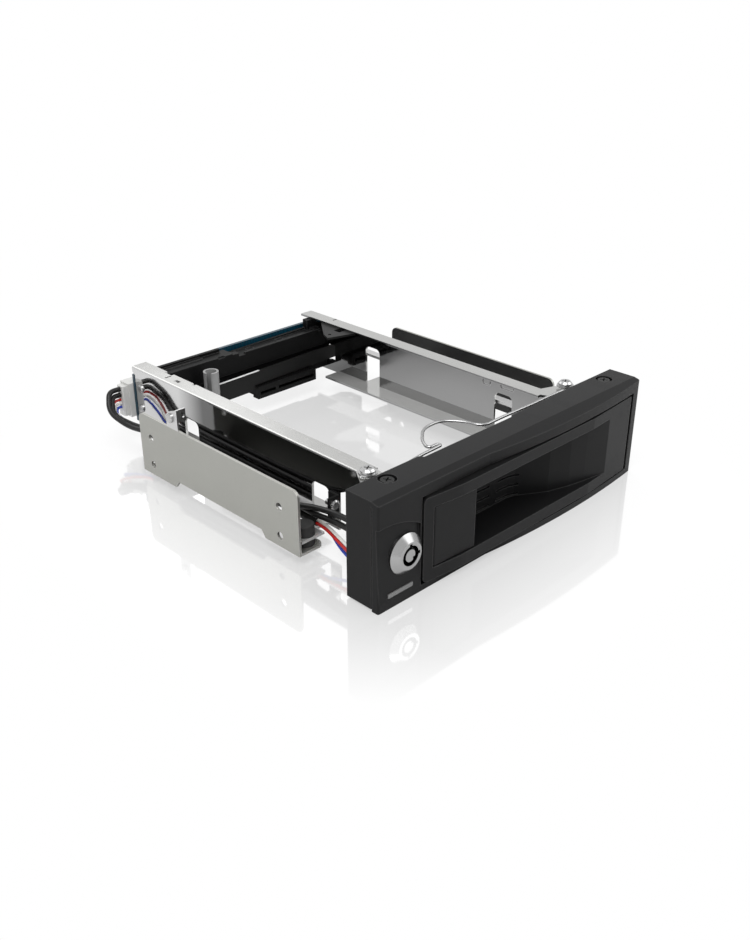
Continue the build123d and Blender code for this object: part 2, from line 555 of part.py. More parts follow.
def cage_side_right():
    wall, outer, inner = cage_wall(1)
    ear = ((outer, 16), (outer - 7.2, 16), (outer - 3.7, 8), (outer + 7.3, -7.3), (outer + 15.8, -7.3),
           (outer + 15.8, -1), (outer + 10.3, 12))
    wall += prism("Z", ear, (CAGE_TOP - SHEET, CAGE_TOP), 0.9)
    for tab in damper_tabs(1, outer):
        wall += tab
    wall -= rod("Z", BOW_SCREWS[1], BOW_SCREW[2], (CAGE_TOP - 5, CAGE_TOP + 5))
    wall -= rod("Z", TOP_SCREWS[1], BEZEL_SCREW[2], (CAGE_TOP - 5, CAGE_TOP + 5))
    lever_slot = (LEVER_PIVOT[1] - 4.4, LEVER_PIVOT[1] + 0.8)
    wall -= block((inner - 0.7, outer + 1.3), lever_slot, (LEVER_LOW - 0.6, LEVER_TOP + 0.7))
    notch = (WALL_FRONT - 6.9, WALL_FRONT - 6.1)
    wall -= block((outer - 3.1, outer - 0.7), notch, (CAGE_TOP - 2, CAGE_TOP + 1))
    for low, high in (((42, 28.6), (46.4, 32)), ((29.4, 29.4), (36.6, 31.6))):
        sunk = (inner, inner + 0.3)
        ring = panel("X", low, high, 0.9, sunk)
        wall -= ring - panel("X", (low[0] + 0.5, low[1] + 0.5), (high[0] - 0.5, high[1] - 0.5), 0.4, sunk)
    for y, z in REAR_SCREWS:
        wall -= rod("X", (y, z), WALL_SCREW[2], (outer - 2.7, outer + 2.3))
    return [wall]


def outer_bracket_right():
    front, rear = BRACKET_Y
    low, top = FOOT_Z[0], BRACKET_TOP
    outline = ((front, low), (SKIRT_Y[0] - 2.2, low), (SKIRT_Y[0], SKIRT_Z), (SKIRT_Y[1], SKIRT_Z),
               (SKIRT_Y[1] + 2.2, low), (rear, low), (rear, top), (front, top))
    sketch = make_face(Polyline(*outline, close=True))
    sketch = fillet(sketch.vertices().group_by(Axis.Y)[-1], 3.0)
    plate = along("X", sketch, (BRACKET_FACE - SHEET, BRACKET_FACE))
    for y in BOLT_Y:
        for z in BOLT_Z:
            plate -= rod("X", (y, z), BOLT_R, (BRACKET_FACE - 3, BRACKET_FACE + 2))
    for span, hole in zip(FOOT_Y, DAMPER_Y):
        foot = panel("Z", (FOOT_INNER, span[0]), (BRACKET_FACE + 6, span[1]), 3.0, FOOT_Z)
        foot &= block((FOOT_INNER, BRACKET_FACE), span, FOOT_Z)
        plate += foot - rod("Z", (DAMPER_X, hole), DAMPER_SCREW[2], (0, FOOT_Z[1] + 5))
    return [plate]


def outer_bracket_left():
    return [mirror(outer_bracket_right()[0], about=Plane.YZ)]


def rubber_dampers():
    body = rod("Z", (0, 0), DAMPER_R, (FOOT_Z[1], DAMPER_TOP))
    ring = rod("Z", (0, 0), DAMPER_R + 1, LEDGE_Z) - rod("Z", (0, 0), GROOVE_R, LEDGE_Z)
    damper = body - ring - rod("Z", (0, 0), DAMPER_SCREW[2], (0, DAMPER_TOP - 1))
    damper = fillet(damper.edges().filter_by(GeomType.CIRCLE).sort_by(Axis.Z)[-1], 0.6)
    return [Pos(side * DAMPER_X, y, 0) * damper for side in (-1, 1) for y in DAMPER_Y]


def damper_screws():
    places = [(side * DAMPER_X, y) for side in (-1, 1) for y in DAMPER_Y]
    return [pan_screw("Z", at, FOOT_Z[0], -1, DAMPER_SCREW, DAMPER_TOP - FOOT_Z[0] - 1.1) for at in places]


def rear_wall():
    left, right = CAGE_LEFT + SHEET, CAGE_RIGHT - SHEET
    face = (WALL_FRONT, WALL_FRONT + WALL_T)
    depth = (WALL_FRONT, WALL_REAR)
    wall = block((left, LEDGE_SPLIT), face, (WALL_STEP, LEDGE_TOP))
    wall += block((LEDGE_SPLIT, right), face, (WALL_STEP, TROUGH_FLOOR))
    wall += block((left, right), (WALL_FRONT + 1.0, WALL_FRONT + 2.4), (CONNECTOR_Z[1] + 0.6, WALL_STEP + 1))
    wall += block((left, LEDGE_SPLIT), depth, (LEDGE_TOP - 1.5, LEDGE_TOP))
    wall += block((left, LEDGE_SPLIT - 14.0), (WALL_FRONT + 3.4, WALL_REAR), (LEDGE_TOP, LEDGE_TOP + 0.5))
    wall += block((left, LEDGE_SPLIT - 3.0), (WALL_REAR - 1.4, WALL_REAR), (LEDGE_TOP, LEDGE_TOP + 1.6))
    wall += block((right - 9.2, right), (WALL_REAR - 3.0, WALL_REAR), (TROUGH_FLOOR - 1, CAGE_TOP - SHEET))
    wall += block((LEDGE_SPLIT, right), depth, (TROUGH_FLOOR - 1.5, TROUGH_FLOOR))
    rim = ((LEDGE_SPLIT, TROUGH_FLOOR - 1), (right, TROUGH_FLOOR - 1), (right, TROUGH_FLOOR + 1.3),
           (LEDGE_SPLIT, TROUGH_FLOOR + 0.4))
    wall += prism("Y", rim, (WALL_REAR - 1.0, WALL_REAR))
    lips = (((LEDGE_SPLIT + 7.0, right - 5.7), 1.2, 1.0), ((LEDGE_SPLIT, LEDGE_SPLIT + 3.5), 3.0, 1.5))
    for span, deep, high in lips:
        wall += block(span, (WALL_FRONT, WALL_FRONT + deep), (TROUGH_FLOOR - 1, TROUGH_FLOOR + high))
    wall -= block((LEDGE_SPLIT - 8.0, LEDGE_SPLIT - 4.5), (WALL_FRONT - 1, WALL_FRONT + 1.2),
                  (LEDGE_TOP - 0.6, LEDGE_TOP + 2))
    for span in ((left, left + 8), (right - 9.7, right)):
        wall += block(span, (WALL_FRONT + 1.0, BOARD_FRONT), (LEDGE_Z[1] + 0.6, TROUGH_FLOOR))
    for x in TROUGH_SCREWS:
        ring = SlotCenterToCenter(1.6, 3.2) - SlotCenterToCenter(1.6, 2.0)
        wall += along("Z", Pos(x, WALL_FRONT + 3.6) * ring, (TROUGH_FLOOR - 0.2, TROUGH_FLOOR + 0.5))
    wall += rod("Z", TROUGH_BOSS, 2.9, (TROUGH_FLOOR - 1.0, TROUGH_FLOOR + 1.0))
    wall -= rod("Z", TROUGH_BOSS, 1.1, (TROUGH_FLOOR, TROUGH_FLOOR + 3))
    for y, z in REAR_SCREWS:
        wall -= rod("X", (y, z), WALL_SCREW[2], (left - 1, left + 3.5))
        wall -= rod("X", (y, z), WALL_SCREW[2], (right - 3.5, right + 1))
    for x, z in BOARD_SCREWS:
        wall -= rod("Y", (x, z), BOARD_SCREW[2], (BOARD_FRONT - 4, BOARD_FRONT + 1))
    return [wall]


def rear_wall_screws():
    left = [pan_screw("X", at, CAGE_LEFT, -1, WALL_SCREW, 4) for at in REAR_SCREWS]
    seats = (CAGE_RIGHT + EAR_T, CAGE_RIGHT)
    return left + [pan_screw("X", at, seat, 1, WALL_SCREW, 4) for at, seat in zip(REAR_SCREWS, seats)]


def corner_plate():
    root, rear = CAGE_RIGHT - SHEET, WALL_FRONT - 2.0
    outline = ((root, rear - 23.5), (root - 5.7, rear - 23.0), (root - 18.7, rear - 19.0),
               (root - 16.7, rear - 14.0), (root - 5.7, rear), (root, rear))
    plate = prism("Z", outline, (CAGE_TOP - 2 * SHEET, CAGE_TOP - SHEET))
    plate -= block((root - 9.8, root - 5.8), (rear - 17.2, rear - 13.2), (CAGE_TOP - 5, CAGE_TOP + 1))
    return [plate - rod("Z", (root - 14.8, rear - 16.1), 0.8, (CAGE_TOP - 5, CAGE_TOP + 1))]


def backplane_board():
    board = block(BOARD_X, (BOARD_FRONT, BOARD_BACK), BOARD_Z)
    for x, z in BOARD_SCREWS:
        board -= rod("Y", (x, z), BOARD_SCREW[2], (BOARD_FRONT - 1, BOARD_BACK + 1))
    return [board]


def board_screws():
    return [pan_screw("Y", at, BOARD_BACK, 1, BOARD_SCREW, 4) for at in BOARD_SCREWS]


def drive_connector():
    low, high = CONNECTOR_X
    floor, top = CONNECTOR_Z
    shell = block(CONNECTOR_X, (CONNECTOR_FRONT, BOARD_FRONT), (floor + 1.2, top))
    shell += block(CONNECTOR_X, (CONNECTOR_FRONT, CONNECTOR_FRONT + 4), (floor, top))
    for slot in ((low + 1.4, low + 10.4), (low + 12.2, high - 1.5)):
        shell -= block(slot, (CONNECTOR_FRONT - 1, CONNECTOR_FRONT + 3.4), (floor + 2.0, floor + 3.4))
    pitch = (high - low - 3) / RIB_COUNT
    for step in range(RIB_COUNT):
        x = low + 1.6 + step * pitch
        rib = (x, x + pitch * 0.45)
        shell += block(rib, (CONNECTOR_FRONT + 0.4, CONNECTOR_FRONT + 10.0), (top, top + 0.25))
    return [shell]


def port(x, back, wall):
    """Socket on the back of the board, with a slot open to the rear."""
    shell = block(x, (BOARD_BACK, back), PORT_Z)
    return shell - block(grown(x, -wall), (BOARD_BACK + 1.9, back + 1), (PORT_Z[0] + 1.4, PORT_Z[1] - 1.2))


def host_data_port():
    left = CONNECTOR_X[0] + 12.5
    return [port((left, left + 14.0), HEADER_BACK, 1.4)]


def host_power_port():
    left = CONNECTOR_X[0] - 17.5
    return [port((left, left + 24.0), REAR_PLANE, 1.6)]


def power_header():
    shell = block(HEADER_X, (BOARD_BACK, HEADER_BACK), HEADER_Z)
    mouth = block((HEADER_X[0] - 1, HEADER_X[0] + 1), (BOARD_BACK + HEADER_WALL, HEADER_BACK - HEADER_WALL),
                  grown(HEADER_Z, -HEADER_WALL))
    return [shell - mouth]


def power_plug():
    inside = HEADER_WALL + 0.1
    body = block((HEADER_X[0] - 2.6, HEADER_X[0] + 1.0), (BOARD_BACK + inside, HEADER_BACK - inside),
                 grown(HEADER_Z, -inside))
    return [chamfer(body.edges().filter_by(Axis.Z), 0.5)]


def retaining_wire():
    z = CAGE_TOP + BOW_R
    left = ((-3.1, 10.7), (3.0, 4.4), (12.4, 6.2), (23.4, 7.9), (35.2, 8.3), (35.1, 9.9), (29.8, 9.8),
            (32.6, 15.2), (40.6, 22.6), (50.6, 23.2), (56.6, 16.6), (58.6, 8.2), (70.4, 8.6))
    right = ((-18.7, 8.0), (-0.7, 8.2), (9.5, 7.4))
    points = [(CAGE_LEFT + x, y, z) for x, y in left] + [(CAGE_RIGHT + x, y, z) for x, y in right]
    return [tube(points, BOW_R)]


def wire_washers():
    z = CAGE_TOP + 2 * BOW_R
    ring = Circle(WASHER_R) - Circle(BOW_SCREW[2])
    return [along("Z", Pos(*at) * ring, (z, z + WASHER_T)) for at in BOW_SCREWS]


def wire_screws():
    return [cross_screw(at, CAGE_TOP + 2 * BOW_R + WASHER_T, BOW_SCREW) for at in BOW_SCREWS]


def side_clip():
    face, front, base = -BRACKET_FACE, CLIP_CORNER, BRACKET_TOP
    outline = ((front + 7.2, base), (front + 7.5, base + 4.8), (front + 5.0, base + 6.8),
               (front, base + 8.6), (front, base))
    clip = prism("X", outline, (face, face + CLIP_T))
    clip += block((face, face + 4.2), (front, front + CLIP_T), (base + 3.4, base + 8.6))
    clip -= rod("Y", (face + 3.1, base + 5.6), 0.6, (front - 5, front + 5))
    return [clip - rod("X", CLIP_SCREW_AT, CLIP_SCREW[2], (face - 2, face + 3))]


def side_clip_screw():
    return [pan_screw("X", CLIP_SCREW_AT, -BRACKET_FACE, -1, CLIP_SCREW, 2 * CLIP_T)]


def guide_bracket():
    leg = block((CAGE_LEFT - SHEET, CAGE_LEFT), (STRAP_Y, STRAP_Y + 4.9), STRAP_Z)
    face = block((CAGE_LEFT - 4.9, CAGE_LEFT), (STRAP_Y, STRAP_Y + SHEET), STRAP_Z)
    strap = leg + face - rod("Y", STRAP_SCREW_AT, GUIDE_SCREW[2], (STRAP_Y - 5, STRAP_Y + 5))
    return [strap + rod("X", STRAP_RIVET, STRAP_RIVET_R, (CAGE_LEFT - SHEET, CAGE_LEFT + SHEET))]


def guide_bracket_screw():
    return [pan_screw("Y", STRAP_SCREW_AT, STRAP_Y, -1, GUIDE_SCREW, 3.5)]


def lever_bar(low, high, z):
    """Stretch of the lever's plate between two places along X."""
    half = LEVER_T / 2
    ends = [LEVER_PIVOT[1] + LEVER_SLANT * (x - LEVER_PIVOT[0]) for x in (low, high)]
    outline = [(low, ends[0] - half), (high, ends[1] - half), (high, ends[1] + half), (low, ends[0] + half)]
    return prism("Z", outline, z)


def eject_lever():
    half = LEVER_T / 2
    lever = lever_bar(LEVER_START, LEVER_PIVOT[0] - 2.0, (LEVER_LOW, LEVER_TOP))
    lever += lever_bar(LEVER_START, CONNECTOR_X[0] - 0.7, (LEVER_TIP, LEVER_TOP))
    x, y = SLEEVE_AT
    root = LEVER_START + 0.5
    middle = LEVER_PIVOT[1] + LEVER_SLANT * (root - LEVER_PIVOT[0])
    saddle = [(root, middle - half), (x + 2.1, y + 1.1), (x + 0.9, y + 2.1), (x + 2.1, y + 3.1),
              (root, middle + half)]
    pad = prism("Z", saddle, (LEVER_TIP, LEVER_TOP - 1.5))
    lever += pad - rod("Z", SLEEVE_AT, SLEEVE_R, (0, CAGE_TOP))
    lever += rod("Z", LEVER_PIVOT, 3.0, (EARS_Z[0] + EAR_T + GAP, LEVER_TOP))
    lever += rod("Z", PEG_AT, PEG_R, (LEVER_TOP - 4, LINK_Z[1] + 0.8))
    return [lever - rod("Z", LEVER_PIVOT, LEVER_PIN_R + PIN_PLAY, (0, CAGE_TOP))]


def eject_sleeve():
    ring = Circle(SLEEVE_R) - Circle(SLEEVE_R - SLEEVE_WALL)
    ring -= Rot(0, 0, 215) * (Pos(SLEEVE_R, 0) * Rectangle(2 * SLEEVE_R, 2.2))
    return [along("Z", Pos(*SLEEVE_AT) * ring, SLEEVE_Z)]


def lever_bracket():
    x, y = LEVER_PIVOT
    web = (x + 3.6, x + 4.6)
    arm = ((CAGE_RIGHT, y + 4.6), (x - 7, y + 4.6), (x - 4.5, y - 3.4), (web[1], y - 3.4), (web[1], y + 5),
           (x + 1, y + 8.5), (CAGE_RIGHT, y + 8.5))
    bracket = block((CAGE_RIGHT, CAGE_RIGHT + EAR_T), (y + 4.6, y + 8.5), EARS_Z)
    bracket += block(web, (y - 3.4, y + 5.0), EARS_Z)
    for low in (EARS_Z[0], EARS_Z[1] - EAR_T):
        bracket += prism("Z", arm, (low, low + EAR_T))
    bracket -= rod("X", REAR_SCREWS[0], WALL_SCREW[2], (CAGE_RIGHT - 0.7, CAGE_RIGHT + 2.3))
    return [bracket - rod("Z", LEVER_PIVOT, LEVER_PIN_R, (0, CAGE_TOP))]


def lever_pin():
    head = rod("Z", LEVER_PIVOT, 2.0, (EARS_Z[1], EARS_Z[1] + 0.8))
    return [rod("Z", LEVER_PIVOT, LEVER_PIN_R, EARS_Z) + head]


def eject_link():
    x, y = PEG_AT
    bar = block(LINK_X, (-4.0, y + 2.35), LINK_Z)
    bar += block(LINK_X, (-4.0, -2.8), (LINK_Z[0] - 3.4, LINK_Z[1] + 2.4))
    return [bar - block((x - 1.3, x + 1.3), (y - 0.95, y + 0.95), (LINK_Z[0] - 1.4, LINK_Z[1] + 1.4))]


def link_guides():
    guides = []
    for y in GUIDE_Y:
        shape = block((CAGE_RIGHT, LINK_X[1] + 1.7), (y - 3, y + 3), grown(LINK_Z, 1.5))
        guides.append(shape - block(grown(LINK_X, GAP), (y - 4, y + 4), grown(LINK_Z, GAP)))
    return guides


def beside_cage(points):
    """Points whose x is given from the left face of the cage."""
    return [(CAGE_LEFT + x, y, z) for x, y, z in points]


def lead_a():
    route = ((-5.2, 158.3, 24.9), (-10.6, 158.3, 24.9), (-14.6, 153.0, 18.6), (-12.2, 143.0, 14.4),
             (-9.0, 130.0, 14.7), (-8.2, 112.0, 15.4), (-8.5, 92.0, 15.1), (-8.1, 66.0, 15.3),
             (-8.5, 40.0, 15.7), (-7.8, 28.3, 18.8), (-7.8, 18.0, 20.4), (-7.6, 11.0, 20.3), (-7.6, 5.5, 20.3))
    return [tube(beside_cage(route), LEAD_R)]


def lead_b():
    route = ((-5.2, 158.3, 22.2), (-9.4, 158.3, 22.2), (-13.0, 152.6, 16.9), (-9.6, 142.0, 14.2),
             (-6.2, 130.0, 14.4), (-5.8, 112.0, 14.8), (-6.0, 92.0, 14.5), (-5.7, 66.0, 14.7),
             (-6.0, 41.0, 14.6), (-7.6, 29.6, 15.6), (-7.8, 18.0, 17.0), (-7.6, 11.0, 16.7), (-7.6, 5.5, 16.7))
    return [tube(beside_cage(route), LEAD_R)]


def thin_wire(colour, rear, front):
    """Wire through the harness sleeve, with its own knots behind and in front of it."""
    dx, dz = THIN_OFFSETS[colour]
    x, z = HARNESS_AT[0] + dx, HARNESS_AT[1] + dz
    return [tube([*beside_cage(rear), (x, 141.0, z), (x, 25.8, z), *beside_cage(front)], THIN_R)]


def wire_red():
    rear = [(-5.2, 158.3, 20.0), (-8.4, 158.3, 20.0), (-11.6, 156.6, 17.0), (-10.8, 149.0, 12.6)]
    front = [(-7.6, 17.0, 9.3), (-8.4, 10.5, 7.7), (-11.8, 3.0, 6.5), (-14.1, -1.5, 6.3), (-14.1, -5.8, 6.3)]
    return thin_wire("red", rear, front)


def wire_white():
    rear = [(-5.2, 158.3, 18.3), (-7.8, 158.3, 18.3), (-9.8, 156.6, 16.0), (-9.2, 149.0, 13.6)]
    front = [(-7.3, 17.0, 10.9), (-8.2, 10.5, 9.6), (-12.4, 3.0, 8.3), (-14.9, -1.5, 8.0), (-14.9, -5.8, 8.0)]
    return thin_wire("white", rear, front)


def wire_blue():
    rear = [(-5.2, 158.3, 16.6), (-7.4, 158.3, 16.6), (-8.6, 156.8, 14.7), (-7.8, 149.0, 12.0)]
    front = [(-7.0, 17.0, 6.6), (-7.6, 10.5, 4.5), (-10.4, 3.0, 4.2), (-12.4, -1.5, 4.4), (-12.4, -5.8, 4.4)]
    return thin_wire("blue", rear, front)


def harness_sleeve():
    x, z = HARNESS_AT
    sleeve = rod("Y", (x, z), HARNESS_R, HARNESS_Y)
    for dx, dz in THIN_OFFSETS.values():
        sleeve -= rod("Y", (x + dx, z + dz), THIN_R, grown(HARNESS_Y, 1))
    return [sleeve]


PIECES = (
    bezel, bezel_screws, door_panel, door_hinge_pins, door_paddle, paddle_pin, lock_body, lock_nut, lock_plug,
    lock_cam, cam_screw, led_light_pipe, led_board, led_connector, key_switch, switch_bracket, cage_side_left,
    cage_side_right, outer_bracket_left, outer_bracket_right, rubber_dampers, damper_screws, rear_wall,
    rear_wall_screws, corner_plate, backplane_board, board_screws, drive_connector, host_data_port,
    host_power_port, power_header, power_plug, retaining_wire, wire_washers, wire_screws, side_clip,
    side_clip_screw, guide_bracket, guide_bracket_screw, eject_lever, eject_sleeve, lever_bracket, lever_pin,
    eject_link, link_guides, lead_a, lead_b, wire_red, wire_white, wire_blue, harness_sleeve,
)

os.makedirs("parts", exist_ok=True)
for piece in PIECES:
    solids = [Pos(0, -Y_MIDDLE, 0) * solid for solid in piece()]
    shape = solids[0] if len(solids) == 1 else Compound(children=[Solid(s.solid().wrapped) for s in solids])
    export_step(shape, f"parts/{piece.__name__}.step")
    print(piece.__name__, len(solids), [len(s.solids()) for s in solids])
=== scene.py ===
from collections import namedtuple
from math import radians

import bpy
from bpy.props import FloatProperty, FloatVectorProperty, PointerProperty
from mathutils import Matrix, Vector


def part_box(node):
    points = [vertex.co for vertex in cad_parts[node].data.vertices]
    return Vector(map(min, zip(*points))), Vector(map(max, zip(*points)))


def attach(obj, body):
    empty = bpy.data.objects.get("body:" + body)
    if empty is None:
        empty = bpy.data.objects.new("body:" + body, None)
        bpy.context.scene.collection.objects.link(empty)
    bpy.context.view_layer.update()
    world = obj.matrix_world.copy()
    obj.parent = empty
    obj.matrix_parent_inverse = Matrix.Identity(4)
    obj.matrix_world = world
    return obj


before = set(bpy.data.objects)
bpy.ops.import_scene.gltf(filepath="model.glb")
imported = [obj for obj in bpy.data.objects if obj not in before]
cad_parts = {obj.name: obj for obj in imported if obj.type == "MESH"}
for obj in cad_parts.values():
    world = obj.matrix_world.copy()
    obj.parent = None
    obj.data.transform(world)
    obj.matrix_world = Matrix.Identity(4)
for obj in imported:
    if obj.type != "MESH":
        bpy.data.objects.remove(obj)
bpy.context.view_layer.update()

bl_info = {
    "name": "Hot swap drive cage",
    "version": (1, 0, 0),
    "blender": (4, 5, 0),
    "location": "3D View > Sidebar > Drive cage",
    "description": "Dresses the packed drive cage with its finishes and lays out its studio",
    "category": "Object",
}

# Places and sizes are metres in the part's frame: X to the right, Y to the rear, Z up.
LEDGE_TOP = 0.0095
FLANGE_UNDER = 0.0344
# The keyway's x, z and radius, painted near black as the shade inside the hole.
KEYWAY_SHADE = (-0.0613, 0.0183, 0.0037)
# The lever's top face above this z and left of this x is light grey: partly uncoated metal, partly a painted
# highlight.
LEVER_LIT_AND_BARE_ABOVE = 0.0204
LEVER_LIT_AND_BARE_LEFT_OF = 0.004

# A face points left or right where X takes more than this part of its normal.
FACING = 0.7

# Painted reflection on the upright faces of a plated wall: the grey painted high up and low down,
# the heights between which it changes, and the y behind which it fades to the low grey.
WallReflection = namedtuple("WallReflection", "high low bottom top rear")
LEFT_WALL_REFLECTION = WallReflection(high=0.12, low=0.55, bottom=0.019, top=0.024, rear=0.032)
RIGHT_WALL_REFLECTION = WallReflection(high=0.22, low=0.34, bottom=0.012, top=0.034, rear=1.0)

# Components on the back of the board. A chip is its middle in x and z, then width, height and depth.
CHIPS = ((-0.0285, 0.0215, 0.007, 0.007, 0.0010), (0.0355, 0.0235, 0.005, 0.004, 0.0014))
COIL_X, COIL_Z = -0.0385, 0.0245
COIL_SIZE = (0.005, 0.0024, 0.005)
LEGS_A_SIDE = 4
LEG_SIZE = (0.0010, 0.0004, 0.0004)
CAPACITORS = ((-0.0205, 0.0255), (-0.0205, 0.0228), (-0.0105, 0.0245), (-0.0035, 0.0245), (0.0035, 0.0245),
              (0.0155, 0.0240), (0.0215, 0.0240), (0.0275, 0.0240), (-0.0245, 0.0140), (-0.0315, 0.0140))
CAPACITOR_SIZES = ((0.0032, 0.0016, 0.0013), (0.0020, 0.0012, 0.0006))

# Camera solved on the photograph, and the studio's floor.
CAMERA_AT = (-0.274282, -0.288505, 0.198473)
CAMERA_TILT, CAMERA_TURN = 62.9473, -44.6945
LIT_POINT = (0, 0, 0.02)
FLOOR_SIZE = 6.0
HALF_WIDTH, HALF_DEPTH = 0.0743, 0.0901
FADE_FROM = 0.22


class Val:
    """One socket of a shader tree. Arithmetic on it adds Math nodes."""

    def __init__(self, tree, socket):
        self.tree = tree
        self.socket = socket

    def math(self, operation, first, second=None):
        node = self.tree.nodes.new("ShaderNodeMath")
        node.operation = operation
        for place, value in enumerate((first, second)):
            if value is not None:
                feed(self.tree, node.inputs[place], value)
        return Val(self.tree, node.outputs[0])

    def __add__(self, other):
        return self.math("ADD", self, other)

    def __radd__(self, other):
        return self.math("ADD", other, self)

    def __sub__(self, other):
        return self.math("SUBTRACT", self, other)

    def __rsub__(self, other):
        return self.math("SUBTRACT", other, self)

    def __mul__(self, other):
        return self.math("MULTIPLY", self, other)

    def __rmul__(self, other):
        return self.math("MULTIPLY", other, self)

    def __pow__(self, other):
        return self.math("POWER", self, other)

    def __abs__(self):
        return self.math("ABSOLUTE", self)

    def __gt__(self, other):
        return self.math("GREATER_THAN", self, other)

    def __lt__(self, other):
        return self.math("LESS_THAN", self, other)

    def at_least(self, least):
        return self.math("MAXIMUM", self, least)

    def clamp(self):
        return self.math("MINIMUM", self.at_least(0.0), 1.0)


def feed(tree, socket, value):
    """Links a Val to a socket, or sets the socket's own value."""
    if isinstance(value, Val):
        tree.links.new(value.socket, socket)
    else:
        socket.default_value = value


class Finish:
    """A procedural material on the object's own coordinates, which are metres in the part's frame."""

    def __init__(self, name):
        self.material = bpy.data.materials.new(name)
        self.material.use_nodes = True
        self.tree = self.material.node_tree
        self.tree.nodes.clear()
        self.surface = self.tree.nodes.new("ShaderNodeBsdfPrincipled")
        self.output = self.tree.nodes.new("ShaderNodeOutputMaterial")
        self.tree.links.new(self.surface.outputs["BSDF"], self.output.inputs["Surface"])
        self.place = self.node("ShaderNodeTexCoord", out="Object")

    def node(self, kind, settings=None, out=0, **sockets):
        """Adds a node: its settings first, then values or links for its sockets, by name or as i0, i1."""
        node = self.tree.nodes.new(kind)
        for key, value in (settings or {}).items():
            setattr(node, key, value)
        for key, value in sockets.items():
            numbered = key[0] == "i" and key[1:].isdigit()
            feed(self.tree, node.inputs[int(key[1:]) if numbered else key], value)
        return Val(self.tree, node.outputs[out])

    def noise(self, scale, detail=2.0, rough=0.5, stretch=(1, 1, 1)):
        place = self.place
        if stretch != (1, 1, 1):
            place = self.node("ShaderNodeMapping", Vector=place, Scale=stretch)
        return self.node("ShaderNodeTexNoise", Vector=place, Scale=scale, Detail=detail, Roughness=rough)

    def mix(self, share, first, second):
        """Blend of two colours, each a link or four numbers."""
        return self.node("ShaderNodeMix", {"data_type": "RGBA"}, out=2, i0=share, i6=first, i7=second)

    def blend(self, share, first, second):
        """Blend of two shaders."""
        return self.node("ShaderNodeMixShader", i0=share, i1=first, i2=second)

    def set(self, **sockets):
        """Values or links for the shader's own sockets, with _ for each space of their names."""
        for key, value in sockets.items():
            feed(self.tree, self.surface.inputs[key.replace("_", " ")], value)

    def bump(self, height, depth, strength, edge=0.0):
        """Relief from a height link; depth is in metres, and edge rounds the corners by that radius."""
        base = {"Normal": self.rounded(edge)} if edge else {}
        normal = self.node("ShaderNodeBump", Height=height, Distance=depth, Strength=strength, **base)
        self.tree.links.new(normal.socket, self.surface.inputs["Normal"])

    def rounded(self, radius):
        """Surface normal as if every edge had this radius."""
        return self.node("ShaderNodeBevel", {"samples": 4}, Radius=radius)

    def near_edge(self, sharp):
        """1 near an edge of the solid, 0 on its flats."""
        bevel = self.rounded(sharp)
        flat = self.node("ShaderNodeNewGeometry", out="Normal")
        dot = self.node("ShaderNodeVectorMath", {"operation": "DOT_PRODUCT"}, out="Value", i0=bevel, i1=flat)
        return ((1.0 - dot) * 6.0).clamp()

    def axis(self, letter, of="Object"):
        """One coordinate of the object's own space, or of its surface normal."""
        source = self.place if of == "Object" else self.node("ShaderNodeTexCoord", out="Normal")
        return self.node("ShaderNodeSeparateXYZ", out=letter, Vector=source)

    def outside(self, letter, limit):
        """How far a place lies beyond plus or minus this limit on one axis."""
        return (abs(self.axis(letter)) - limit).at_least(0.0)


def grey(level):
    return (level, level, level, 1.0)


def shade(colour, factor):
    """This colour made darker or lighter by a factor."""
    return tuple(min(1, factor * c) for c in colour[:3]) + (1.0,)


def moulded(name, dark, light, rough, gloss=0.11):
    """Satin moulded plastic: spark-eroded grain, cloudy gloss, faint handling marks and painted edge
    highlights.
    """
    f = Finish(name)
    cloud = f.noise(38.0, detail=3.0)
    grain = f.noise(5200.0, rough=0.6)
    rub = (f.noise(160.0, detail=5.0, rough=0.65, stretch=(1.0, 0.25, 1.0)) - 0.52) * 3.0
    colour = f.mix(cloud, dark, light)
    # Painted highlight: colour lightened towards grey near the edges.
    colour = f.mix(f.near_edge(0.0006) * 0.8, colour, grey(0.05))
    f.set(Base_Color=colour, Roughness=(rough - 0.08 + 0.12 * cloud + 0.05 * rub.clamp()),
          Specular_IOR_Level=gloss)
    f.bump(grain, depth=0.00002, strength=0.6, edge=0.0004)
    return f.material


